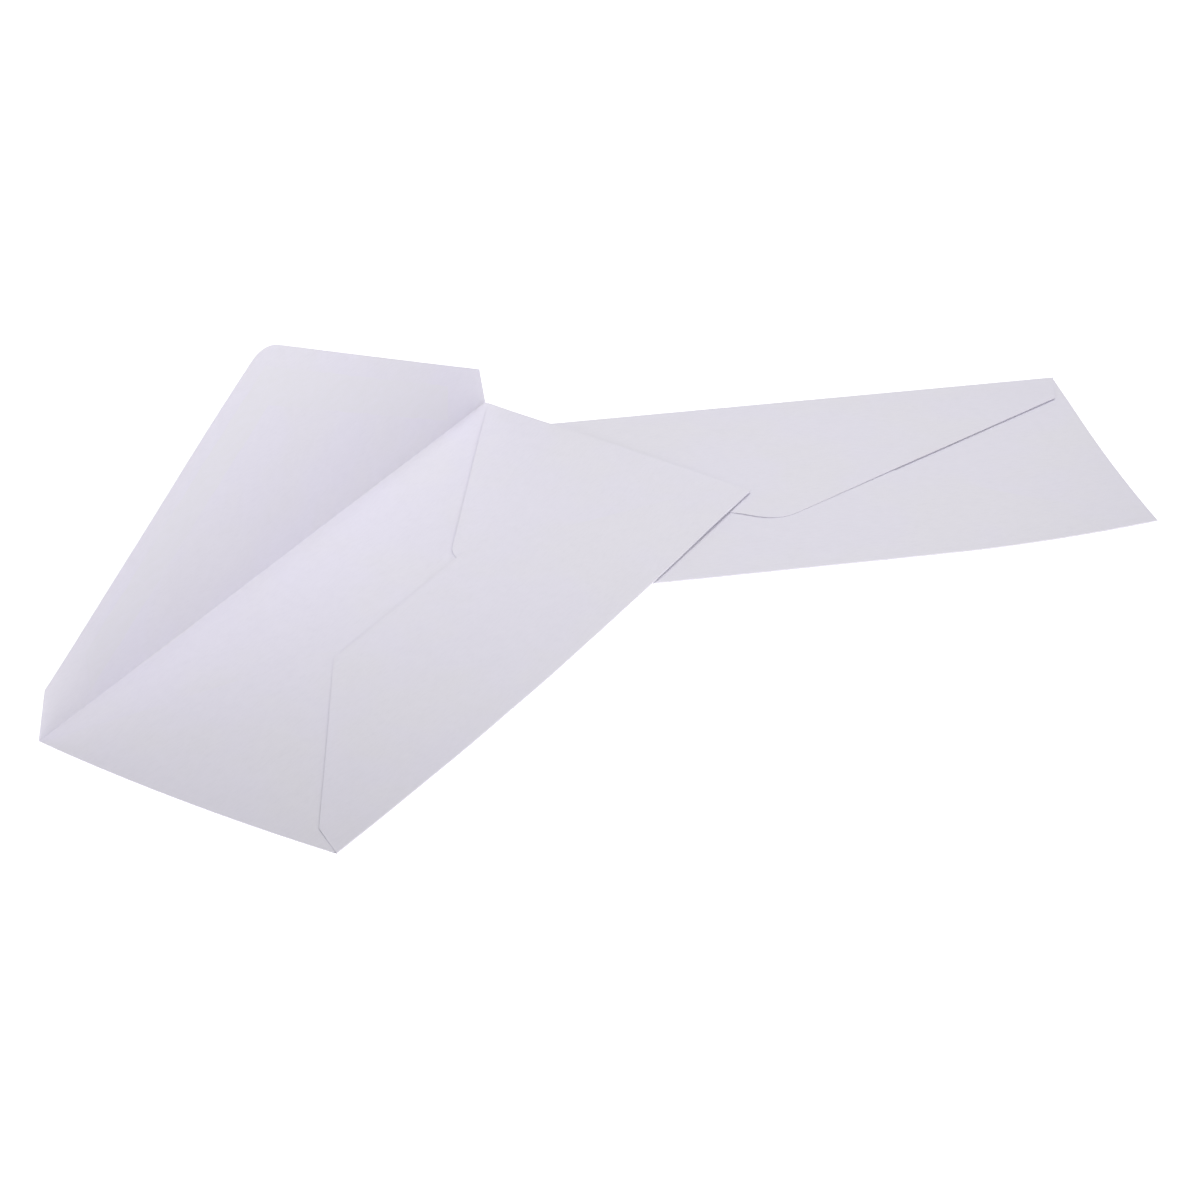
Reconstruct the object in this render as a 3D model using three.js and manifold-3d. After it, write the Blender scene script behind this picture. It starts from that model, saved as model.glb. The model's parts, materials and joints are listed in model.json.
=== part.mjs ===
// Paper envelope pair: an open envelope with its seal flap standing up, lying across a closed one.
//
// Millimetres, +Z up. The origin is on the table, under the middle of the pair.
// Both envelopes lie on their front panel with the back up. In an envelope's own frame x runs
// along the fold of the seal flap, -y runs across the pocket to its bottom edge, and z is height.
// Each envelope is one folded blank; its panels are separate thin solids, stacked with a little
// air between them, so that the pocket stays open and the seal flap can turn about its crease.

import * as THREE from 'three';
import { mergeVertices } from 'three/addons/utils/BufferGeometryUtils.js';
import Module from 'manifold-3d';

const wasm = await Module();
wasm.setup();

// ---- Envelope: US commercial No. 10, 9 1/2 x 4 1/8 in ----
const LENGTH = 241.3;
const WIDTH = 104.8;
const PAPER = 0.12; // 90 g/m2 writing paper
const FILM = 0.04; // dried gum or seam glue
const AIR = 0.1; // between two sheets that lie on each other
const LAYER = PAPER + AIR; // height from one sheet of the stack to the next
const FILM_AIR = (AIR - FILM) / 2; // air on each side of a film between two sheets

// ---- Seal flap: short slanted ends, long straight edges, rounded tip ----
const SHOULDER_INSET = 4.7;
const SHOULDER_DEPTH = 15;
const APEX_DEPTH = 75.8; // where the two straight edges would meet
const TIP_RADIUS = 15;
const GUM_INSET = 7; // from the straight edge to the gum
const GUM_WIDTH = 12;
const GUM_START = 24; // along the fold, from either end

// ---- Back panel: the bottom flap, folded up and glued over the side flaps ----
const THROAT_DEPTH = 45; // from the seal flap's fold down to the straight throat edge
const THROAT_START = 84; // along the fold, from either end
const RELIEF_X = 7.9; // the seam edge starts clear of the bottom corner
const RELIEF_DEPTH = 93.2;
const GLUE_INSET = 2; // from the seam edge, in under the back panel
const GLUE_WIDTH = 6;
const GLUE_START = 14;
const GLUE_END = 80;

// ---- Side flaps: folded in from the short edges, with round tips ----
const SIDE_CORNER = 0.8; // from the seal flap's fold to the start of the top edge
const SIDE_BOTTOM = 103.8;
const SIDE_TIP_X = 81; // centre of the round tip
const SIDE_TIP_DEPTH = 48;
const SIDE_TIP_RADIUS = 8;

// ---- Crease of the seal flap: its axis lies just outside the pocket, half way up the stack ----
const HINGE_OUT = 0.2;
const HINGE_HEIGHT = (3 * LAYER + PAPER) / 2;
const FLAP_ROOT = 0.1; // the flap's sheet starts this far from the axis

// ---- Where the two envelopes lie ----
const CLOSED_CORNER = { x: -85.37, y: 94.2 }; // end of the fold, on the table
const CLOSED_YAW = 12.33; // degrees
const OPEN_CORNER = { x: -172.24, y: -93.15 };
const OPEN_YAW = 59.82;
const OPEN_FLAP_ANGLE = 92.8; // from closed, at the middle of the fold

// ---- How the paper curls ----
const OPEN_HEIGHTS = { foldStart: 7.04, foldEnd: 3.84, bottomEnd: 2.64, bottomStart: 9.04 };
const OPEN_SIDE_SAG = 1.7; // the short edge at the start of the fold hangs between its corners
const OPEN_BOTTOM_SAG = 4; // so does the long bottom edge
const OPEN_FLAP_TWIST = -3; // degrees of flap angle gained from one end of the fold to the other
const OPEN_FLAP_BOW = -16; // degrees, times the square of the distance from mid fold over LENGTH
const CURL_RATE = 0.0016; // the closed envelope's far bottom corner curls up as a parabola, per mm
const CURL_START = LENGTH + 30; // along the fold plus across the pocket, where the curl begins

// ---- Facets ----
const CELLS_ALONG = 16;
const POCKET_CELLS = 7;
const FLAP_CELLS = 5;
const CUTTER_HEIGHT = 60; // taller than any curl of the paper
const OVERCUT = 5; // an outline runs this far past an edge that the sheet already has
const SEAL_TIP_STEPS = 4; // on each half of the seal flap's round tip
const SIDE_TIP_STEPS = 8;
const MERGE_DISTANCE = 1e-4;

// ---- Colours ----
const PAPER_WHITE = 0xdedce6;
const GUM_WHITE = 0xdfdcdc;
const GLUE_WHITE = 0xe4e0d4;

const paperMaterial = () =>
  new THREE.MeshStandardMaterial({ color: PAPER_WHITE, roughness: 0.85, metalness: 0 });
const gumMaterial = () =>
  new THREE.MeshStandardMaterial({ color: GUM_WHITE, roughness: 0.45, metalness: 0 });
const glueMaterial = () =>
  new THREE.MeshStandardMaterial({ color: GLUE_WHITE, roughness: 0.5, metalness: 0 });

// ---- Solids ----

// A closed sheet over 0..LENGTH in x and low..high in y. rise(x, y) bends it upwards.
function sheet(low, high, cells, rise, level, thickness) {
  const positions = [];
  for (const height of [level, level + thickness]) {
    for (let j = 0; j <= cells; j++) {
      for (let i = 0; i <= CELLS_ALONG; i++) {
        const x = (LENGTH * i) / CELLS_ALONG;
        const y = low + ((high - low) * j) / cells;
        positions.push(x, y, rise(x, y) + height);
      }
    }
  }
  const row = CELLS_ALONG + 1;
  const layer = row * (cells + 1);
  const triangles = [];
  for (let j = 0; j < cells; j++) {
    for (let i = 0; i < CELLS_ALONG; i++) {
      const a = j * row + i;
      const [b, c, d] = [a + 1, a + row + 1, a + row];
      triangles.push(a, c, b, a, d, c);
      triangles.push(a + layer, b + layer, c + layer, a + layer, c + layer, d + layer);
    }
  }
  const rim = [];
  for (let i = 0; i < CELLS_ALONG; i++) {
    rim.push(i);
  }
  for (let j = 0; j < cells; j++) {
    rim.push(j * row + CELLS_ALONG);
  }
  for (let i = CELLS_ALONG; i > 0; i--) {
    rim.push(cells * row + i);
  }
  for (let j = cells; j > 0; j--) {
    rim.push(j * row);
  }
  rim.forEach((a, k) => {
    const b = rim[(k + 1) % rim.length];
    triangles.push(a, b, b + layer, a, b + layer, a + layer);
  });
  const geometry = new THREE.BufferGeometry();
  geometry.setAttribute('position', new THREE.Float32BufferAttribute(positions, 3));
  geometry.setIndex(triangles);
  return geometry;
}

function toManifold(geometry) {
  const bare = geometry.clone();
  bare.deleteAttribute('normal');
  bare.deleteAttribute('uv');
  const merged = mergeVertices(bare, MERGE_DISTANCE);
  const vertProperties = new Float32Array(merged.attributes.position.array);
  const triVerts = new Uint32Array(merged.index.array);
  return new wasm.Manifold(new wasm.Mesh({ numProp: 3, vertProperties, triVerts }));
}

function toGeometry(solid) {
  const mesh = solid.getMesh();
  const geometry = new THREE.BufferGeometry();
  geometry.setAttribute('position', new THREE.Float32BufferAttribute(mesh.vertProperties, 3));
  geometry.setIndex(Array.from(mesh.triVerts));
  return geometry;
}

// The part of a sheet that lies inside an outline, as a pair of shears would cut it.
function cutOut(sheetGeometry, outline) {
  const cutter = new THREE.ExtrudeGeometry(outline, { depth: CUTTER_HEIGHT, bevelEnabled: false });
  cutter.translate(0, 0, -CUTTER_HEIGHT / 2);
  return toGeometry(toManifold(sheetGeometry).intersect(toManifold(cutter)));
}

function piece(name, geometry, material) {
  const shape = geometry.clone();
  shape.computeVertexNormals();
  const mesh = new THREE.Mesh(shape, material);
  mesh.name = name;
  return mesh;
}

// ---- Outlines, drawn for the start end of the fold and mirrored for the other end ----

// Points [x, y] from the start end become a symmetric outline.
function symmetricOutline(points) {
  const mirrored = points.map(([x, y]) => [LENGTH - x, y]).reverse();
  return new THREE.Shape([...points, ...mirrored].map(([x, y]) => new THREE.Vector2(x, y)));
}

function arcPoints(centre, radius, from, to, steps) {
  const points = [];
  for (let k = 0; k <= steps; k++) {
    const angle = from + ((to - from) * k) / steps;
    points.push([centre[0] + radius * Math.cos(angle), centre[1] + radius * Math.sin(angle)]);
  }
  return points;
}

// The seal flap opened flat, so its depth runs along +y.
const SLANT = Math.atan2(APEX_DEPTH - SHOULDER_DEPTH, LENGTH / 2 - SHOULDER_INSET);
function slantedEdge(x, inset) {
  return SHOULDER_DEPTH + (x - SHOULDER_INSET) * Math.tan(SLANT) - inset / Math.cos(SLANT);
}

function sealFlapOutline() {
  const tipCentre = [LENGTH / 2, APEX_DEPTH - TIP_RADIUS / Math.cos(SLANT)];
  const halfTip = arcPoints(
    tipCentre,
    TIP_RADIUS,
    Math.PI / 2 + SLANT,
    Math.PI / 2,
    SEAL_TIP_STEPS,
  );
  return symmetricOutline([
    [0, -OVERCUT],
    [0, FLAP_ROOT],
    [SHOULDER_INSET, SHOULDER_DEPTH],
    ...halfTip.slice(0, -1),
  ]);
}

function gumOutline() {
  const edges = [GUM_INSET, GUM_INSET + GUM_WIDTH];
  const [outer, inner] = edges.map((inset) => [
    [GUM_START, slantedEdge(GUM_START, inset)],
    [LENGTH / 2, slantedEdge(LENGTH / 2, inset)],
    [LENGTH - GUM_START, slantedEdge(GUM_START, inset)],
  ]);
  return new THREE.Shape([...outer, ...inner.reverse()].map(([x, y]) => new THREE.Vector2(x, y)));
}

// The seam edge of the back panel, from the relief by the bottom corner to the throat.
const SEAM_SLOPE = (RELIEF_DEPTH - THROAT_DEPTH) / (THROAT_START - RELIEF_X);
const SEAM_ANGLE = Math.atan(SEAM_SLOPE);
function seamEdge(x, inset) {
  return -(RELIEF_DEPTH - (x - RELIEF_X) * SEAM_SLOPE) - inset / Math.cos(SEAM_ANGLE);
}

function backPanelOutline() {
  return symmetricOutline([
    [0, -WIDTH - OVERCUT],
    [0, -WIDTH],
    [RELIEF_X, -RELIEF_DEPTH],
    [THROAT_START, -THROAT_DEPTH],
  ]);
}

// Tangents to the round tip give the side flap's top edge and its glued lower edge.
function sideFlapPoints() {
  const centre = [SIDE_TIP_X, -SIDE_TIP_DEPTH];
  const reach = Math.hypot(SIDE_TIP_X, SIDE_TIP_DEPTH - SIDE_CORNER);
  const towardsTip = Math.atan2(SIDE_TIP_DEPTH - SIDE_CORNER, SIDE_TIP_X);
  const topAngle = towardsTip - Math.asin(SIDE_TIP_RADIUS / reach);
  const start = Math.PI / 2 - topAngle;
  const end = SEAM_ANGLE - Math.PI / 2;
  const tip = arcPoints(centre, SIDE_TIP_RADIUS, start, end, SIDE_TIP_STEPS);
  const [lastX, lastY] = tip.at(-1);
  const lowerX = lastX - (SIDE_BOTTOM + lastY) / SEAM_SLOPE;
  return [
    [-OVERCUT, -SIDE_CORNER],
    [0, -SIDE_CORNER],
    ...tip,
    [lowerX, -SIDE_BOTTOM],
    [-OVERCUT, -SIDE_BOTTOM],
  ];
}

function gluePoints() {
  const inner = GLUE_INSET + GLUE_WIDTH;
  return [
    [GLUE_START, seamEdge(GLUE_START, GLUE_INSET)],
    [GLUE_END, seamEdge(GLUE_END, GLUE_INSET)],
    [GLUE_END, seamEdge(GLUE_END, inner)],
    [GLUE_START, seamEdge(GLUE_START, inner)],
  ];
}

function outlineAt(points, atEnd) {
  const placed = points.map(([x, y]) => new THREE.Vector2(atEnd ? LENGTH - x : x, y));
  return new THREE.Shape(placed);
}

// ---- Envelope ----

// The pocket: front panel, two side flaps, back panel and the two glued seams, from the table up.
function pocket(prefix, rise) {
  const layer = (level, thickness) => sheet(-WIDTH, 0, POCKET_CELLS, rise, level, thickness);
  const group = new THREE.Group();
  group.add(piece(`${prefix}_front_panel`, layer(0, PAPER), paperMaterial()));
  for (const [side, atEnd] of [['left', false], ['right', true]]) {
    const flap = cutOut(layer(LAYER, PAPER), outlineAt(sideFlapPoints(), atEnd));
    group.add(piece(`${prefix}_${side}_side_flap`, flap, paperMaterial()));
    const glueLevel = LAYER + PAPER + FILM_AIR;
    const glue = cutOut(layer(glueLevel, FILM), outlineAt(gluePoints(), atEnd));
    group.add(piece(`${prefix}_${side}_seam_glue`, glue, glueMaterial()));
  }
  const back = cutOut(layer(2 * LAYER, PAPER), backPanelOutline());
  group.add(piece(`${prefix}_back_panel`, back, paperMaterial()));
  return group;
}

// The seal flap opened flat, about its crease axis, with the gummed face up.
function sealFlap(prefix, rise) {
  const layer = (level, thickness) =>
    sheet(FLAP_ROOT, APEX_DEPTH, FLAP_CELLS, rise, level - HINGE_HEIGHT, thickness);
  const group = new THREE.Group();
  const flap = cutOut(layer(0, PAPER), sealFlapOutline());
  group.add(piece(`${prefix}_seal_flap`, flap, paperMaterial()));
  const gum = cutOut(layer(PAPER + FILM_AIR, FILM), gumOutline());
  group.add(piece(`${prefix}_gum_strip`, gum, gumMaterial()));
  return group;
}

// An envelope with its seal flap turned flapAngle degrees from closed.
function envelope(prefix, pocketRise, flapRise, flapAngle) {
  const group = new THREE.Group();
  group.add(pocket(prefix, pocketRise));
  const crease = new THREE.Group();
  const drop = pocketRise(0, 0) - pocketRise(LENGTH, 0);
  crease.position.set(0, HINGE_OUT, pocketRise(0, 0) + HINGE_HEIGHT);
  crease.rotation.y = Math.asin(drop / LENGTH);
  const flap = sealFlap(prefix, flapRise);
  flap.rotation.x = THREE.MathUtils.degToRad(180 - flapAngle);
  crease.add(flap);
  group.add(crease);
  return group;
}

function openRise(x, y) {
  const along = x / LENGTH;
  const across = -y / WIDTH;
  const { foldStart, foldEnd, bottomEnd, bottomStart } = OPEN_HEIGHTS;
  const fold = THREE.MathUtils.lerp(foldStart, foldEnd, along);
  const bottom = THREE.MathUtils.lerp(bottomStart, bottomEnd, along);
  const sideSag = OPEN_SIDE_SAG * 4 * across * (1 - across) * (1 - along);
  const bottomSag = OPEN_BOTTOM_SAG * 4 * along * (1 - along) * across;
  return THREE.MathUtils.lerp(fold, bottom, across) - sideSag - bottomSag;
}

function openFlapRise(x, y) {
  const fromMiddle = x / LENGTH - 0.5;
  const turn = OPEN_FLAP_TWIST * fromMiddle + OPEN_FLAP_BOW * fromMiddle ** 2;
  return -y * Math.sin(THREE.MathUtils.degToRad(turn));
}

function closedRise(x, y) {
  const past = Math.max(0, (x - y - CURL_START) / Math.SQRT2);
  return CURL_RATE * past ** 2;
}

function place(group, corner, yaw) {
  group.position.set(corner.x, corner.y, 0);
  group.rotation.z = THREE.MathUtils.degToRad(yaw);
  return group;
}

const pair = new THREE.Group();
const flat = () => 0;
pair.add(place(envelope('closed', closedRise, flat, 0), CLOSED_CORNER, CLOSED_YAW));
pair.add(place(envelope('open', openRise, openFlapRise, OPEN_FLAP_ANGLE), OPEN_CORNER, OPEN_YAW));

export default pair;
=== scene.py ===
"""Looks of a pair of white paper envelopes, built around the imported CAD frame.

Each envelope has its own frame, as in the CAD: x runs along the fold of the seal flap, -y runs
across the pocket to its bottom edge, and z is height. Sizes are in millimetres in that frame, and
a mesh is put in metres in the row frame when it is made. Every panel is a closed thin sheet on a
fine grid: its middle surface is worked out point by point, then given the paper's thickness.
"""
import json
import math

import bpy
import numpy as np
from mathutils import Matrix, Vector


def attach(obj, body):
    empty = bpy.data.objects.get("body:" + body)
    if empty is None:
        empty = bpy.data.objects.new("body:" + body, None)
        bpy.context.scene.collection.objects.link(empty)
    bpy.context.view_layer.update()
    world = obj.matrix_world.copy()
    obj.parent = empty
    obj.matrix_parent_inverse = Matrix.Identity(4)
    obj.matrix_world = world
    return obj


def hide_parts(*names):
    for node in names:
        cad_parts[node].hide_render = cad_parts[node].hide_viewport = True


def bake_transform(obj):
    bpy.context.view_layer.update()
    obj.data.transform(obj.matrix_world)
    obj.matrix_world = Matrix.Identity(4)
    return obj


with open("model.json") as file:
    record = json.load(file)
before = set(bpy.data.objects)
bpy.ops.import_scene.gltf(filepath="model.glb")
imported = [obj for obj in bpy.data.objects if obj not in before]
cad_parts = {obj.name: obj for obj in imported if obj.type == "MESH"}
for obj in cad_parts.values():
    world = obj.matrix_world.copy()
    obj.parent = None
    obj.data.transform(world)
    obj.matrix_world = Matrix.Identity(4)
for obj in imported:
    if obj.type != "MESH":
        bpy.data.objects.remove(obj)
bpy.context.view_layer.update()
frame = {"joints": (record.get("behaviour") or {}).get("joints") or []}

MM = 0.001

# ---- Camera, in metres ----
CAMERA_AIM = Vector((-0.0102, -0.0023, 0.0))
CAMERA_DISTANCE = 0.96987
CAMERA_ELEVATION = math.radians(33.415)
CAMERA_ROLL = math.radians(0.984)
CAMERA_LENS = 91.83
SENSOR = 36.0

# ---- Envelope, as in the CAD ----
LENGTH = 241.3
WIDTH = 104.8
PAPER = 0.12
AIR = 0.1
LAYER = PAPER + AIR

SHOULDER_INSET = 4.7
SHOULDER_DEPTH = 15.0
APEX_DEPTH = 75.8
TIP_RADIUS = 15.0
GUM_INSET = 7.0
GUM_WIDTH = 12.0
GUM_START = 24.0

THROAT_DEPTH = 45.0
THROAT_START = 84.0
RELIEF_X = 7.9
RELIEF_DEPTH = 93.2
GLUE_INSET = 2.0
GLUE_WIDTH = 6.0
GLUE_START = 14.0
GLUE_END = 80.0

SIDE_CORNER = 0.8
SIDE_BOTTOM = 103.8
SIDE_TIP_X = 81.0
SIDE_TIP_DEPTH = 48.0
SIDE_TIP_RADIUS = 8.0

HINGE_OUT = 0.2  # from the pocket's edge to the crease axis
HINGE_HEIGHT = (3 * LAYER + PAPER) / 2
FLAP_ROOT = 0.1  # from the crease axis to the start of the flap
FLAP_FLOOR = HINGE_HEIGHT - PAPER / 2  # from the crease axis to the flap's middle surface
OPEN_FLAP_ANGLE = 92.8  # degrees from closed

# Height of the open pocket's underside at its corners
OPEN_HEIGHTS = {"fold_start": 7.04, "fold_end": 3.84, "bottom_end": 2.64, "bottom_start": 9.04}
OPEN_SIDE_SAG = 1.7  # between the corners at the start of the fold
OPEN_BOTTOM_SAG = 4.0  # and between those of the bottom edge
OPEN_FLAP_TWIST = -3.0  # degrees
OPEN_FLAP_BOW = -16.0
CURL_RATE = 0.0016
CURL_START = LENGTH + 30.0  # the closed envelope's free corner curls up beyond this x - y

# ---- Detail that only the looks have ----
FILM = 0.02  # dried gum and glue, thinner than in the CAD
STEP = 1.6  # grid spacing
TIP_STEP = 0.5  # and round a side flap's tip
BACK_ROWS = 44  # grid points across a panel, besides those of its folded edge
SIDE_ROWS = 52
SEAL_ROWS = 48
GUM_ROWS = 9
GLUE_ROWS = 5
FOLD_STEPS = 8  # cells round a folded edge
EDGE_GAP = 0.05  # a grid never narrows to nothing at a pointed corner
SHARP_ANGLE = math.radians(50)  # edges of the sheet stay sharp, its folds are shaded smooth
PANEL_SPACING = 37.0  # keeps the panels apart in the noise, so that no two have the same spots
COCKLE_HEIGHT = 0.16  # slow waves of the paper
COCKLE_LENGTH = 62.0
COCKLE_WAVES = 7
COCKLE_SPREAD = 0.45  # how far the waves' lengths spread, as a share of the longest
COCKLE_PHASE_STEP = 2.4  # radians from one wave to the next
COCKLE_SEED_STEP = 3
FOLD_QUIET = 18.0  # the waves die out towards a crease
GOLDEN_ANGLE = math.pi * (3 - math.sqrt(5))
FOLD_SPRING = 0.4  # the pocket dips this far away from the standing flap's crease
FOLD_SPRING_REACH = 11.0
LEFT_SIDE_LIFT = 0.1  # the side flaps' free edges stand a little off the front panel
RIGHT_SIDE_LIFT = 0.5
SIDE_LIFT_REACH = 2.5
SIDE_LIFT_FROM, SIDE_LIFT_FULL = 1.0, 14.0  # along the edge, from the folded side
SIDE_LIFT_FADE = 4.0  # before the back panel, which holds the flap down
BACK_LIFT = 0.03  # the back panel's upper edge stands off the side flaps, by less
BACK_LIFT_THROAT = 0.05  # and by this much more where it reaches the throat
BACK_LIFT_REACH = 5.0
BACK_LIFT_FROM, BACK_LIFT_FULL = 2.0, 10.0  # along the edge, from the folded sides
SEAM_LIFT = 0.16  # and by this much more along the left seam
SEAM_LIFT_FADE = 60.0
LOOSE = {"closed": 0.0, "open": 1.0}  # a closed seal flap holds all of these edges down
CORNER_DROOP = 0.9  # the open pocket's corner over the closed envelope hangs down a little
CORNER_DROOP_REACH = 22.0
FLAP_LIFT = 0.27  # the closed seal flap's long edge lifts by this much towards its right end
FLAP_LIFT_FROM, FLAP_LIFT_FULL = 0.52 * LENGTH, 0.74 * LENGTH
FLAP_TIP_LIFT = 0.18  # and by this much over a short stretch just left of the tip
FLAP_TIP_FROM, FLAP_TIP_FULL = 0.435 * LENGTH, 0.458 * LENGTH
FLAP_TIP_FADE, FLAP_TIP_END = 0.48 * LENGTH, 0.505 * LENGTH
FLAP_LIFT_REACH = 14.0
GUM_WOBBLE = 0.3  # the gum is rolled on, so its edges wander
GUM_WOBBLE_LENGTH = 17.0
GUM_RIPPLE_RATE = 2.3  # a second wobble, this many times shorter
GUM_RIPPLE_SHIFT = 4

# ---- Colours ----
PAPER_TINT = (0.864, 0.842, 0.930)
PAPER_NEUTRAL = (0.864, 0.845, 0.912)
PAPER_CLOUD = (0.987, 0.987, 0.988)  # the thick of the clouds multiplies the colour by this
FIBRE_SHADE = (0.978, 0.978, 0.980)  # and the fibres by this
GUM_LIGHT = (0.858, 0.842, 0.908)
GUM_DARK = (0.842, 0.828, 0.882)
GLUE_LIGHT = (0.85, 0.83, 0.80)
GLUE_DARK = (0.84, 0.82, 0.78)

# ---- Surfaces: noise scales are per millimetre, bump heights in metres ----
PATCH_SCALE = 0.034
CLOUD_SCALE = 0.21
FIBRE_SCALE = 1.1
FIBRE_STRETCH = (0.28, 1.5, 1)
FIBRE_HEIGHT = 0.00005
TOOTH_SCALE = 1.8
TOOTH_HEIGHT = 0.00004
PAPER_ROUGHNESS = (0.84, 0.93)
PAPER_SPECULAR = 0.25
STREAK_SCALE = 0.5
STREAK_STRETCH = (0.3, 1, 1)
RIPPLE_SCALE = 0.9
RIPPLE_HEIGHT = 0.00007
GUM_ROUGHNESS = (0.5, 0.72)
GLUE_ROUGHNESS = (0.45, 0.67)
GUM_SPECULAR = 0.3

# ---- Floor and light, in metres, watts and degrees ----
FLOOR_SIZE = 24.0
FLOOR_DROP = 0.0002  # keeps the floor out of the plane of the closed envelope's underside
FLOOR_WHITE = 0.95
FLOOR_ROUGHNESS = 0.9
FLOOR_GLOW = 0.6
WORLD_GLOW = 0.423
OVERHEAD_X = 0.03
OVERHEAD_Y = 0.14
OVERHEAD_HEIGHT = 1.2
OVERHEAD_SIZE = 0.4
OVERHEAD_POWER = 0.375
OVERHEAD_SPREAD = 46
FRONT_AZIMUTH = 20
FRONT_ELEVATION = 30
FRONT_DISTANCE = 1.8
FRONT_SIZE = 0.8
FRONT_POWER = 8.3


# ---- Numbers and curves ----

def stations(stops, step=STEP):
    """Values from the first stop to the last, through every stop, at most step apart."""
    values = [stops[0]]
    for low, high in zip(stops, stops[1:]):
        count = max(1, math.ceil((high - low) / step))
        values.extend(low + (high - low) * k / count for k in range(1, count + 1))
    return np.array(values)


def smooth(value, low, high):
    """0 below low, 1 above high, with a soft step between."""
    t = np.clip((value - low) / (high - low), 0, 1)
    return t * t * (3 - 2 * t)


def to_middle(x):
    """Distance from the nearer end of the fold."""
    return np.minimum(x, LENGTH - x)


def cockle(x, y, seed):
    """Slow waves that a dry sheet of paper keeps, as a sum of plane waves in spread directions."""
    total = np.zeros(np.broadcast(x, y).shape)
    for k in range(COCKLE_WAVES):
        direction = GOLDEN_ANGLE * (k + COCKLE_SEED_STEP * seed)
        wave = COCKLE_LENGTH * (1 - COCKLE_SPREAD * k / COCKLE_WAVES)
        phase = COCKLE_PHASE_STEP * k + seed
        along = x * math.cos(direction) + y * math.sin(direction)
        total = total + np.sin(2 * math.pi * along / wave + phase)
    return COCKLE_HEIGHT * total / COCKLE_WAVES


# ---- Outlines ----

SLANT = math.atan2(APEX_DEPTH - SHOULDER_DEPTH, LENGTH / 2 - SHOULDER_INSET)
SEAM_SLOPE = (RELIEF_DEPTH - THROAT_DEPTH) / (THROAT_START - RELIEF_X)
SEAM_ANGLE = math.atan(SEAM_SLOPE)


def slanted_depth(x, inset=0.0):
    """Depth of the seal flap's long straight edge, or of a line inset from it."""
    along = to_middle(x) - SHOULDER_INSET
    return SHOULDER_DEPTH + along * math.tan(SLANT) - inset / math.cos(SLANT)


def flap_depth(x):
    """Depth of the seal flap: its steep ends, its long straight edges and its round tip."""
    half = to_middle(x)
    end = FLAP_ROOT + (SHOULDER_DEPTH - FLAP_ROOT) * half / SHOULDER_INSET
    centre = APEX_DEPTH - TIP_RADIUS / math.cos(SLANT)
    off = np.minimum(np.abs(x - LENGTH / 2), TIP_RADIUS)
    tip = centre + np.sqrt(TIP_RADIUS ** 2 - off ** 2)
    straight = np.where(off < TIP_RADIUS * math.sin(SLANT), tip, slanted_depth(x))
    return np.where(half < SHOULDER_INSET, end, straight)


def back_edge(x):
    """y of the back panel's upper edge: relief, slanted seam, straight throat."""
    stops = [0, RELIEF_X, THROAT_START, LENGTH / 2]
    return np.interp(to_middle(x), stops, [-WIDTH, -RELIEF_DEPTH, -THROAT_DEPTH, -THROAT_DEPTH])


def side_top_angle():
    """Slope of a side flap's top edge, a tangent to its round tip."""
    reach = math.hypot(SIDE_TIP_X, SIDE_TIP_DEPTH - SIDE_CORNER)
    towards = math.atan2(SIDE_TIP_DEPTH - SIDE_CORNER, SIDE_TIP_X)
    return towards - math.asin(SIDE_TIP_RADIUS / reach)


SIDE_TOP = side_top_angle()


def side_reach(y):
    """How far a side flap reaches in from its folded edge."""
    centre_y = -SIDE_TIP_DEPTH
    top = (-SIDE_CORNER - y) / math.tan(SIDE_TOP)
    upper_y = centre_y + SIDE_TIP_RADIUS * math.cos(SIDE_TOP)
    lower_y = centre_y - SIDE_TIP_RADIUS * math.cos(SEAM_ANGLE)
    lower_x = SIDE_TIP_X + SIDE_TIP_RADIUS * math.sin(SEAM_ANGLE)
    off = np.clip(y - centre_y, -SIDE_TIP_RADIUS, SIDE_TIP_RADIUS)
    tip = SIDE_TIP_X + np.sqrt(SIDE_TIP_RADIUS ** 2 - off ** 2)
    low = lower_x - (lower_y - y) / SEAM_SLOPE
    return np.where(y > upper_y, top, np.where(y > lower_y, tip, low))


# ---- How each envelope's paper lies ----

def open_rise(x, y):
    """Height of the open pocket's underside, which bends over the closed envelope."""
    along = x / LENGTH
    across = -y / WIDTH
    fold = OPEN_HEIGHTS["fold_start"] * (1 - along) + OPEN_HEIGHTS["fold_end"] * along
    bottom = OPEN_HEIGHTS["bottom_start"] * (1 - along) + OPEN_HEIGHTS["bottom_end"] * along
    sag = OPEN_SIDE_SAG * 4 * across * (1 - across) * (1 - along)
    sag = sag + OPEN_BOTTOM_SAG * 4 * along * (1 - along) * across
    spring = FOLD_SPRING * (1 - np.exp(y / FOLD_SPRING_REACH)) * (1 - across)
    from_corner = (LENGTH - x) ** 2 + (WIDTH + y) ** 2
    droop = CORNER_DROOP * np.exp(-from_corner / CORNER_DROOP_REACH ** 2)
    waves = cockle(x, y, seed=1) * smooth(-y, 0, FOLD_QUIET)
    return fold * (1 - across) + bottom * across - sag - spring - droop + waves


def closed_waves(x, y):
    """The closed envelope lies on the table, so its waves only rise."""
    return (cockle(x, y, seed=2) + COCKLE_HEIGHT) / 2 * smooth(-y, 0, FOLD_QUIET)


def closed_rise(x, y):
    """Height of the closed pocket's underside."""
    past = np.maximum(0, (x - y - CURL_START) / math.sqrt(2))
    return CURL_RATE * past ** 2 + closed_waves(x, y)


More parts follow.
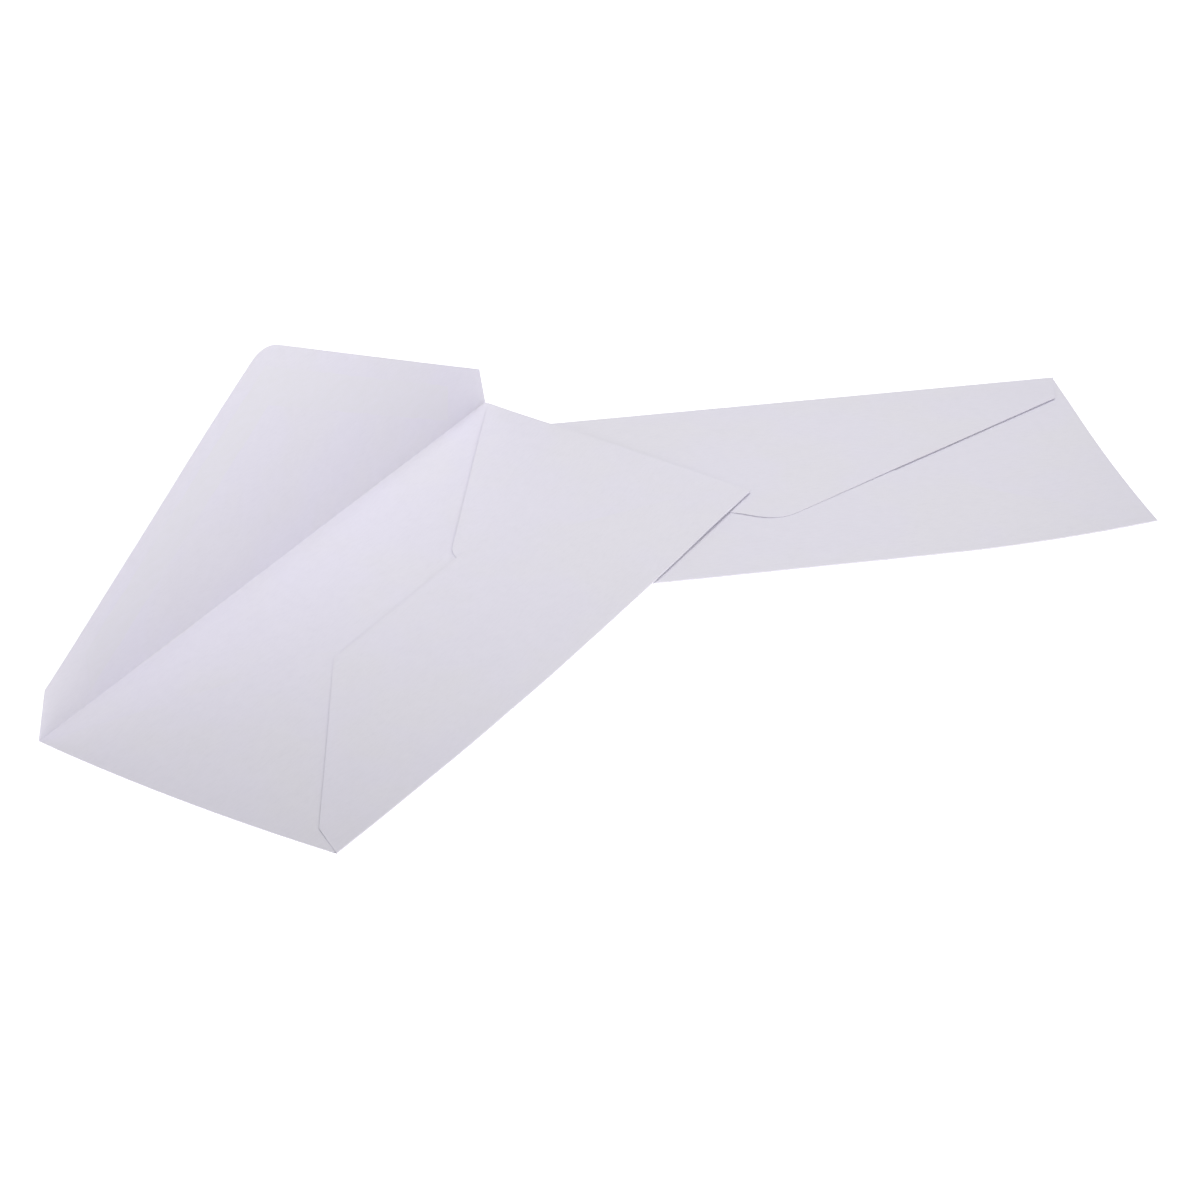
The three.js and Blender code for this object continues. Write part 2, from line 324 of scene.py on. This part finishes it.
def open_flap_rise(x, y):
    """How far the standing flap bows and twists out of its plane."""
    middle = x / LENGTH - 0.5
    turn = np.radians(OPEN_FLAP_TWIST * middle + OPEN_FLAP_BOW * middle ** 2)
    return -y * np.sin(turn) + cockle(x, y, seed=3) * smooth(y, 0, FOLD_QUIET)


def closed_flap_lift(x, y):
    """The folded flap isn't stuck down: its edge stands off, most towards the right end."""
    inside = np.maximum(0, (slanted_depth(x) - y) * math.cos(SLANT))
    right = FLAP_LIFT * smooth(x, FLAP_LIFT_FROM, FLAP_LIFT_FULL)
    tip = smooth(x, FLAP_TIP_FROM, FLAP_TIP_FULL) - smooth(x, FLAP_TIP_FADE, FLAP_TIP_END)
    lift = right + FLAP_TIP_LIFT * tip
    return lift * np.exp(-inside / FLAP_LIFT_REACH) * smooth(y, 0, SHOULDER_DEPTH)


def closed_flap_rise(x, y):
    """Turned over onto the pocket, so down here is up there."""
    return -closed_waves(x, -y) - closed_flap_lift(x, y)


def side_lift(x, y, height):
    """How far a side flap's free top edge stands off the front panel."""
    inside = np.maximum(0, (-SIDE_CORNER - y - x * math.tan(SIDE_TOP)) * math.cos(SIDE_TOP))
    ends = smooth(x, SIDE_LIFT_FROM, SIDE_LIFT_FULL)
    ends = ends * smooth(y, -THROAT_DEPTH, -THROAT_DEPTH + SIDE_LIFT_FADE)
    return height * ends * np.exp(-inside / SIDE_LIFT_REACH)


def back_lift(x, y):
    """How far the back panel's upper edge stands off the side flaps."""
    inside = np.maximum(0, (back_edge(x) - y) * math.cos(SEAM_ANGLE))
    lift = BACK_LIFT + BACK_LIFT_THROAT * smooth(to_middle(x), RELIEF_X, THROAT_START)
    lift = lift + SEAM_LIFT * (1 - smooth(x, SEAM_LIFT_FADE, THROAT_START))
    ends = smooth(to_middle(x), BACK_LIFT_FROM, BACK_LIFT_FULL)
    return lift * np.exp(-inside / BACK_LIFT_REACH) * ends


# ---- Meshes ----

def thicken(middle, thickness):
    """Vertices and faces of a closed sheet round a grid of middle points, shape (n, m, 3)."""
    across = np.cross(np.gradient(middle, axis=0), np.gradient(middle, axis=1))
    normal = across / np.linalg.norm(across, axis=2, keepdims=True)
    faces = []
    n, m = middle.shape[:2]
    vertices = np.concatenate([
        (middle + normal * thickness / 2).reshape(-1, 3),
        (middle - normal * thickness / 2).reshape(-1, 3),
    ])
    under = n * m
    for i in range(n - 1):
        for j in range(m - 1):
            a = i * m + j
            b, c, d = a + m, a + m + 1, a + 1
            faces.append((a, b, c, d))
            faces.append((a + under, d + under, c + under, b + under))
    rim = [i * m for i in range(n)]
    rim += [(n - 1) * m + j for j in range(1, m)]
    rim += [i * m + m - 1 for i in range(n - 2, -1, -1)]
    rim += [j for j in range(m - 2, 0, -1)]
    for a, b in zip(rim, rim[1:] + rim[:1]):
        faces.append((a, a + under, b + under, b))
    return vertices, faces


def make_piece(name, middle, plan, thickness, matrix, material, panel):
    """A closed sheet object. plan holds each grid point's place on its panel, for the noise."""
    vertices, faces = thicken(middle, thickness)
    mesh = bpy.data.meshes.new(name)
    mesh.from_pydata((vertices * MM).tolist(), [], faces)
    mesh.transform(matrix)
    mesh.update()
    mesh.shade_smooth()
    mesh.set_sharp_from_angle(angle=SHARP_ANGLE)
    flat = plan.reshape(-1, 2)
    sheet = np.column_stack([flat, np.full(len(flat), PANEL_SPACING * panel)])
    attribute = mesh.attributes.new("sheet", "FLOAT_VECTOR", "POINT")
    attribute.data.foreach_set("vector", np.tile(sheet, (2, 1)).astype(np.float32).ravel())
    mesh.materials.append(material)
    obj = bpy.data.objects.new(name, mesh)
    bpy.context.scene.collection.objects.link(obj)
    return obj


def columns(x, low, high, rows):
    """A grid of plan points: for each x, rows points from low to high."""
    t = np.linspace(0, 1, rows)
    y = low[:, None] + (high - low)[:, None] * t[None, :]
    return np.stack([np.repeat(x[:, None], rows, axis=1), y], axis=2)


def mirrored(grid):
    """The same grid for the other end of the fold, with its faces still pointing out."""
    grid = grid[:, ::-1].copy()
    grid[..., 0] = LENGTH - grid[..., 0]
    return grid


def lift_to(plan, rise, level):
    """Middle points over plan points, at a height above the envelope's underside."""
    x, y = plan[..., 0], plan[..., 1]
    return np.stack([x, y, rise(x, y) + level], axis=2)


# ---- Panels ----

SIDE_FOLD = (LAYER + PAPER) / 2  # outer radius of the fold between front panel and side flap
BOTTOM_FOLD = (2 * LAYER + PAPER) / 2
BENDS = np.linspace(-math.pi / 2, math.pi / 2, FOLD_STEPS + 1)


def front_panel_grid(rise):
    x = stations([SIDE_FOLD, LENGTH - SIDE_FOLD])
    y = stations([-WIDTH + BOTTOM_FOLD, 0])
    plan = np.stack(np.meshgrid(x, y, indexing="ij"), axis=2)
    return lift_to(plan, rise, PAPER / 2), plan


def back_panel_grid(rise, loose):
    x = stations([SIDE_FOLD, RELIEF_X, THROAT_START, LENGTH - THROAT_START, LENGTH - RELIEF_X,
                  LENGTH - SIDE_FOLD])
    low = np.full(len(x), -WIDTH + BOTTOM_FOLD)
    high = np.maximum(back_edge(x), low + EDGE_GAP)
    flat_plan = columns(x, low, high, BACK_ROWS)
    level = 2 * LAYER + PAPER / 2 + loose * back_lift(flat_plan[..., 0], flat_plan[..., 1])
    flat = lift_to(flat_plan, rise, level)
    bend_y = -WIDTH + BOTTOM_FOLD - LAYER * np.cos(BENDS[:-1])
    bend_plan = np.stack(np.meshgrid(x, bend_y, indexing="ij"), axis=2)
    bend = lift_to(bend_plan, rise, (BOTTOM_FOLD + LAYER * np.sin(BENDS[:-1]))[None, :])
    return np.concatenate([bend, flat], axis=1), np.concatenate([bend_plan, flat_plan], axis=1)


def side_flap_grid(rise, at_end, loose):
    tip_top = -SIDE_TIP_DEPTH + SIDE_TIP_RADIUS
    tip_low = -SIDE_TIP_DEPTH - SIDE_TIP_RADIUS
    y = np.concatenate([
        stations([-SIDE_BOTTOM, tip_low]),
        stations([tip_low, tip_top], TIP_STEP)[1:],
        stations([tip_top, -SIDE_CORNER])[1:],
    ])
    reach = np.maximum(side_reach(y), SIDE_FOLD + EDGE_GAP)
    radius = LAYER / 2
    bend_x = SIDE_FOLD - radius * np.cos(BENDS[:-1])
    t = np.linspace(0, 1, SIDE_ROWS)
    flat_x = SIDE_FOLD + (reach - SIDE_FOLD)[None, :] * t[:, None]
    x = np.concatenate([np.repeat(bend_x[:, None], len(y), axis=1), flat_x])
    plan = np.stack([x, np.repeat(y[None, :], len(x), axis=0)], axis=2)
    level = np.full(x.shape, LAYER + PAPER / 2)
    level[:FOLD_STEPS] = (SIDE_FOLD + radius * np.sin(BENDS[:-1]))[:, None]
    height = RIGHT_SIDE_LIFT if at_end else LEFT_SIDE_LIFT
    level = level + loose * side_lift(x, plan[..., 1], height)
    if at_end:
        plan, level = mirrored(plan), level[:, ::-1]
    return lift_to(plan, rise, level), plan


def glue_grid(rise, at_end):
    x = stations([GLUE_START, GLUE_END])
    edge = -(RELIEF_DEPTH - (x - RELIEF_X) * SEAM_SLOPE)
    high = edge - GLUE_INSET / math.cos(SEAM_ANGLE)
    low = edge - (GLUE_INSET + GLUE_WIDTH) / math.cos(SEAM_ANGLE)
    plan = columns(x, low, high, GLUE_ROWS)
    if at_end:
        plan = mirrored(plan)
    return lift_to(plan, rise, LAYER + PAPER + AIR / 2), plan


def seal_flap_grid(rise):
    tip = TIP_RADIUS * math.sin(SLANT)
    x = stations([EDGE_GAP, SHOULDER_INSET, LENGTH / 2 - tip, LENGTH / 2 + tip,
                  LENGTH - SHOULDER_INSET, LENGTH - EDGE_GAP])
    plan = columns(x, np.full(len(x), FLAP_ROOT), flap_depth(x), SEAL_ROWS)
    return lift_to(plan, rise, -FLAP_FLOOR), plan


def wander(x, seed):
    """Uneven edge of a gum line."""
    turns = 2 * math.pi * x / GUM_WOBBLE_LENGTH
    ripple = np.sin(GUM_RIPPLE_RATE * turns + GUM_RIPPLE_SHIFT * seed)
    return GUM_WOBBLE * (np.sin(turns + seed) + ripple) / 2


def gum_grid(rise):
    x = stations([GUM_START, LENGTH / 2, LENGTH - GUM_START])
    high = slanted_depth(x, GUM_INSET) + wander(x, seed=1)
    low = slanted_depth(x, GUM_INSET + GUM_WIDTH) + wander(x, seed=2)
    plan = columns(x, low, high, GUM_ROWS)
    return lift_to(plan, rise, -FLAP_FLOOR + PAPER / 2 + FILM), plan


def crease_grid(flap_angle):
    """The strip that joins front panel and flap, round the crease axis, in the axis's own frame."""
    turn = math.radians(180 - flap_angle)
    x = stations([EDGE_GAP, LENGTH - EDGE_GAP])
    bends = np.linspace(0, turn, 2 * FOLD_STEPS + 1)
    section = [(-HINGE_OUT, -FLAP_FLOOR)]
    section += [(FLAP_FLOOR * math.sin(b), -FLAP_FLOOR * math.cos(b)) for b in bends]
    end_y, end_z = section[-1]
    section.append((end_y + FLAP_ROOT * math.cos(turn), end_z + FLAP_ROOT * math.sin(turn)))
    run = np.concatenate([[0], np.cumsum(np.linalg.norm(np.diff(section, axis=0), axis=1))])
    section = np.array(section)
    middle = np.zeros((len(x), len(section), 3))
    middle[..., 0] = x[:, None]
    middle[..., 1:] = section[None]
    plan = np.stack(np.meshgrid(x, run, indexing="ij"), axis=2)
    return middle, plan


# ---- Materials ----

class Nodes:
    """A small helper that adds and joins shader nodes."""

    def __init__(self, name):
        self.material = bpy.data.materials.new(name)
        self.material.use_nodes = True
        self.tree = self.material.node_tree
        self.shader = self.tree.nodes["Principled BSDF"]

    def add(self, kind, **values):
        node = self.tree.nodes.new(kind)
        for key, value in values.items():
            if hasattr(node, key):
                setattr(node, key, value)
            else:
                node.inputs[key.replace("_", " ")].default_value = value
        return node

    def join(self, source, target):
        self.tree.links.new(source, target)

    def noise(self, where, scale, detail, rough):
        node = self.add("ShaderNodeTexNoise", Scale=scale, Detail=detail, Roughness=rough)
        self.join(where, node.inputs["Vector"])
        return node.outputs["Fac"]

    def stretch(self, where, scale):
        node = self.add("ShaderNodeVectorMath", operation="MULTIPLY")
        self.join(where, node.inputs[0])
        node.inputs[1].default_value = scale
        return node.outputs["Vector"]

    def multiply(self, first, second):
        node = self.add("ShaderNodeMix", data_type="RGBA", blend_type="MULTIPLY")
        node.inputs["Factor"].default_value = 1
        self.join(first, node.inputs["A"])
        self.join(second, node.inputs["B"])
        return node.outputs["Result"]

    def bump(self, height, strength, distance, under=None):
        node = self.add("ShaderNodeBump", Strength=strength, Distance=distance)
        self.join(height, node.inputs["Height"])
        if under:
            self.join(under, node.inputs["Normal"])
        return node.outputs["Normal"]

    def ramp(self, source, stops):
        """A colour ramp between two stops."""
        node = self.add("ShaderNodeValToRGB")
        for element, (position, color) in zip(node.color_ramp.elements, stops):
            element.position = position
            element.color = (*color, 1)
        self.join(source, node.inputs["Fac"])
        return node.outputs["Color"]


def grey(value):
    return (value,) * 3


def paper_material(name, light, dark, neutral):
    """Uncoated wove paper: soft patches of tint, cloudy formation, short fibres and fine tooth."""
    nodes = Nodes(name)
    sheet = nodes.add("ShaderNodeAttribute", attribute_name="sheet").outputs["Vector"]
    patches = nodes.noise(sheet, PATCH_SCALE, detail=2.0, rough=0.5)
    tint = nodes.ramp(patches, [(0.42, light), (0.62, neutral)])
    clouds = nodes.noise(sheet, CLOUD_SCALE, detail=4.0, rough=0.62)
    shade = nodes.ramp(clouds, [(0.3, dark), (0.7, grey(1))])
    clouded = nodes.multiply(tint, shade)
    strands = nodes.stretch(sheet, FIBRE_STRETCH)
    fibres = nodes.noise(strands, FIBRE_SCALE, detail=3.0, rough=0.65)
    fibre_shade = nodes.ramp(fibres, [(0.3, FIBRE_SHADE), (0.55, grey(1))])
    nodes.join(nodes.multiply(clouded, fibre_shade), nodes.shader.inputs["Base Color"])
    smoothest, roughest = PAPER_ROUGHNESS
    dull = nodes.ramp(clouds, [(0.3, grey(roughest)), (0.7, grey(smoothest))])
    nodes.join(dull, nodes.shader.inputs["Roughness"])
    tooth = nodes.noise(sheet, TOOTH_SCALE, detail=5.0, rough=0.7)
    fine = nodes.bump(tooth, strength=0.5, distance=TOOTH_HEIGHT)
    relief = nodes.bump(fibres, strength=0.35, distance=FIBRE_HEIGHT, under=fine)
    nodes.join(relief, nodes.shader.inputs["Normal"])
    nodes.shader.inputs["Specular IOR Level"].default_value = PAPER_SPECULAR
    return nodes.material


def gum_material(name, light, dark, roughness):
    """A dried film of gum: thicker and thinner streaks, rippled, with a soft gloss."""
    nodes = Nodes(name)
    sheet = nodes.add("ShaderNodeAttribute", attribute_name="sheet").outputs["Vector"]
    drawn = nodes.stretch(sheet, STREAK_STRETCH)
    streaks = nodes.noise(drawn, STREAK_SCALE, detail=4.0, rough=0.6)
    color = nodes.ramp(streaks, [(0.3, dark), (0.7, light)])
    nodes.join(color, nodes.shader.inputs["Base Color"])
    smoothest, roughest = roughness
    gloss = nodes.ramp(streaks, [(0.35, grey(smoothest)), (0.7, grey(roughest))])
    nodes.join(gloss, nodes.shader.inputs["Roughness"])
    ripple = nodes.noise(sheet, RIPPLE_SCALE, detail=3.0, rough=0.5)
    relief = nodes.bump(ripple, strength=0.45, distance=RIPPLE_HEIGHT)
    nodes.join(relief, nodes.shader.inputs["Normal"])
    nodes.shader.inputs["Specular IOR Level"].default_value = GUM_SPECULAR
    return nodes.material


paper = paper_material("envelope_paper", PAPER_TINT, PAPER_CLOUD, PAPER_NEUTRAL)
gum = gum_material("seal_gum", GUM_LIGHT, GUM_DARK, GUM_ROUGHNESS)
glue = gum_material("seam_glue", GLUE_LIGHT, GLUE_DARK, GLUE_ROUGHNESS)


# ---- Envelopes ----

def joint_named(name):
    return next(j for j in frame["joints"] if j["name"] == name)


def crease_matrix(joint):
    """Crease axis frame to row frame: x along the fold from its start, y out of the pocket."""
    along = -Vector(joint["axis"]).normalized()
    outward = Vector((0, 0, 1)).cross(along).normalized()
    up = along.cross(outward)
    turn = Matrix((along, outward, up)).transposed().to_4x4()
    start = Vector(joint["pos_m"]) - along * (LENGTH / 2 * MM)
    return Matrix.Translation(start) @ turn


def pocket_matrix(joint):
    """Envelope frame to row frame, on the table."""
    along = -Vector(joint["axis"])
    turn = Matrix.Rotation(math.atan2(along.y, along.x), 4, "Z")
    corner = Vector(joint["pos_m"]) - turn @ (Vector((LENGTH / 2, HINGE_OUT, 0)) * MM)
    corner.z = 0
    return Matrix.Translation(corner) @ turn


def add_envelope(prefix, rise, flap_rise, flap_angle):
    """All the pieces of one envelope, each on its body but the crease strip, which stays in the row
    frame.
    """
    joint = joint_named(f"{prefix}_flap_crease")
    table = pocket_matrix(joint)
    crease = crease_matrix(joint)
    flap_turn = crease @ Matrix.Rotation(math.radians(180 - flap_angle), 4, "X")
    panel = 0

    def add(part, grid, matrix, material, thickness=PAPER):
        nonlocal panel
        panel += 1
        obj = make_piece(f"{prefix}_{part}_sheet", *grid, thickness, matrix, material, panel)
        return obj

    def ride(obj, part, body):
        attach(obj, f"{prefix}_{body}")
        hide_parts(f"{prefix}_{part}")

    front = add("front_panel", front_panel_grid(rise), table, paper)
    ride(front, "front_panel", "pocket")
    for side, at_end in (("left", False), ("right", True)):
        grid = side_flap_grid(rise, at_end, LOOSE[prefix])
        flap = add(f"{side}_side_flap", grid, table, paper)
        ride(flap, f"{side}_side_flap", "pocket")
        seam = add(f"{side}_seam_glue", glue_grid(rise, at_end), table, glue, FILM)
        ride(seam, f"{side}_seam_glue", "pocket")
    grid = back_panel_grid(rise, LOOSE[prefix])
    back = add("back_panel", grid, table, paper)
    ride(back, "back_panel", "pocket")
    flap = add("seal_flap", seal_flap_grid(flap_rise), flap_turn, paper)
    ride(flap, "seal_flap", "flap")
    strip = add("gum_strip", gum_grid(flap_rise), flap_turn, gum, FILM)
    ride(strip, "gum_strip", "flap")
    fold = add("crease", crease_grid(flap_angle), crease, paper)
    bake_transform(fold)


add_envelope("closed", closed_rise, closed_flap_rise, 0)
add_envelope("open", open_rise, open_flap_rise, OPEN_FLAP_ANGLE)


# ---- Floor, light and camera ----

def add_floor():
    """A plain pale floor that glows a little, so that it stays white in the shade."""
    mesh = bpy.data.meshes.new("floor")
    half = FLOOR_SIZE / 2
    corners = [(-half, -half, 0), (half, -half, 0), (half, half, 0), (-half, half, 0)]
    mesh.from_pydata(corners, [], [(0, 1, 2, 3)])
    floor = bpy.data.objects.new("floor", mesh)
    floor.location.z = -FLOOR_DROP
    bpy.context.scene.collection.objects.link(floor)
    nodes = Nodes("floor_white")
    nodes.shader.inputs["Base Color"].default_value = (*grey(FLOOR_WHITE), 1)
    nodes.shader.inputs["Roughness"].default_value = FLOOR_ROUGHNESS
    nodes.shader.inputs["Emission Color"].default_value = (1, 1, 1, 1)
    nodes.shader.inputs["Emission Strength"].default_value = FLOOR_GLOW
    mesh.materials.append(nodes.material)


def add_light(name, place, aim, size, watts, spread=180):
    """A square soft box at place that faces aim, in metres."""
    data = bpy.data.lights.new(name, "AREA")
    data.size = size
    data.energy = watts
    data.spread = math.radians(spread)
    light = bpy.data.objects.new(name, data)
    light.location = place
    light.rotation_euler = (Vector(place) - Vector(aim)).to_track_quat("Z", "Y").to_euler()
    bpy.context.scene.collection.objects.link(light)


def around(azimuth, elevation, distance):
    """A place on a dome round the pair. Azimuth 0 is the camera's side, 90 is +X."""
    a, e = math.radians(azimuth), math.radians(elevation)
    return Vector((math.sin(a) * math.cos(e), -math.cos(a) * math.cos(e), math.sin(e))) * distance


add_floor()
overhead = (OVERHEAD_X, OVERHEAD_Y, OVERHEAD_HEIGHT)
below = (OVERHEAD_X, OVERHEAD_Y, 0)
add_light("overhead", overhead, below, OVERHEAD_SIZE, OVERHEAD_POWER, OVERHEAD_SPREAD)
front = around(FRONT_AZIMUTH, FRONT_ELEVATION, FRONT_DISTANCE)
add_light("front_box", front, (0, 0, 0), FRONT_SIZE, FRONT_POWER)

world = bpy.data.worlds.new("studio")
world.use_nodes = True
background = world.node_tree.nodes["Background"]
background.inputs["Color"].default_value = (1, 1, 1, 1)
background.inputs["Strength"].default_value = WORLD_GLOW
bpy.context.scene.world = world
bpy.context.scene.view_settings.view_transform = "Standard"

camera_data = bpy.data.cameras.new("camera")
camera_data.lens = CAMERA_LENS
camera_data.sensor_width = SENSOR
camera = bpy.data.objects.new("camera", camera_data)
bpy.context.scene.collection.objects.link(camera)
back = Vector((0, -math.cos(CAMERA_ELEVATION), math.sin(CAMERA_ELEVATION)))
tilt = Matrix.Rotation(math.pi / 2 - CAMERA_ELEVATION, 4, "X")
roll = Matrix.Rotation(CAMERA_ROLL, 4, "Z")
camera.matrix_world = Matrix.Translation(CAMERA_AIM + back * CAMERA_DISTANCE) @ tilt @ roll
bpy.context.scene.camera = camera
